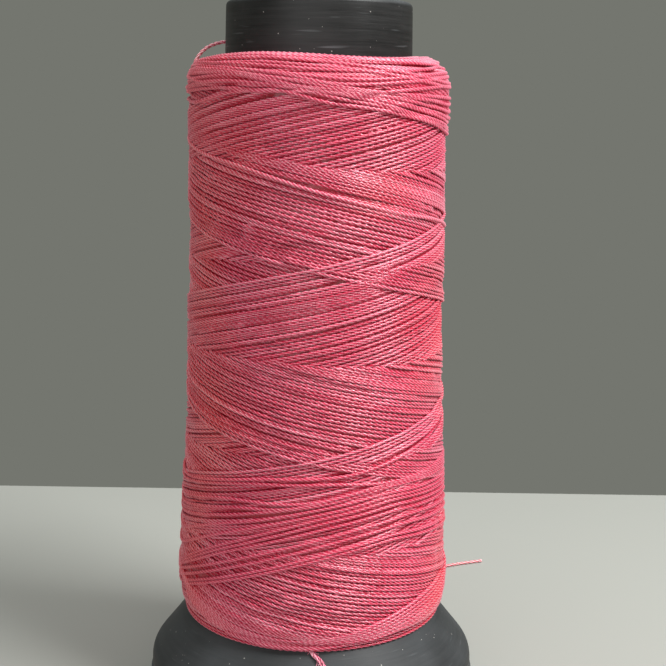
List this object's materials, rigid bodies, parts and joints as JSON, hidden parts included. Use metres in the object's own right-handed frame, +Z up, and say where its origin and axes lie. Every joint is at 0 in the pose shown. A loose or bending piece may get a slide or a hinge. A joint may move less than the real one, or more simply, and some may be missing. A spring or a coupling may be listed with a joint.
{
  "type": "waxed thread spool",
  "caption": "Tapered plastic thread spool with a bell foot and a snap base that slides open, cross-wound with waxed thread whose loose end trails behind it.",
  "frame": {"origin": "on the spool's axis, at the surface that the snap base stands on", "axes": "+Z up along the barrel, towards its open top; the pictured side faces -Y"},
  "size_m": [0.0563, 0.0738, 0.1005],
  "materials": {
    "spool_plastic": "moulded black, fine turned lines, dusty",
    "base_plastic": "moulded black, satin",
    "waxed_thread": "pink waxed three-ply thread, soft wax sheen",
    "waxed_thread_inner": "the same thread in the layers underneath"
  },
  "bodies": {
    "spool": {"spool_body": "spool_plastic", "thread_core": "waxed_thread_inner", "thread_winding": "waxed_thread", "start_tail": "waxed_thread", "running_end": "waxed_thread"},
    "base": {"snap_base": "base_plastic"}
  },
  "joints": [
    {"name": "snap_base_slide", "type": "slide", "parent": "spool", "child": "base", "axis": [0, 0, -1], "range_m": [0, 0.003]}
  ]
}
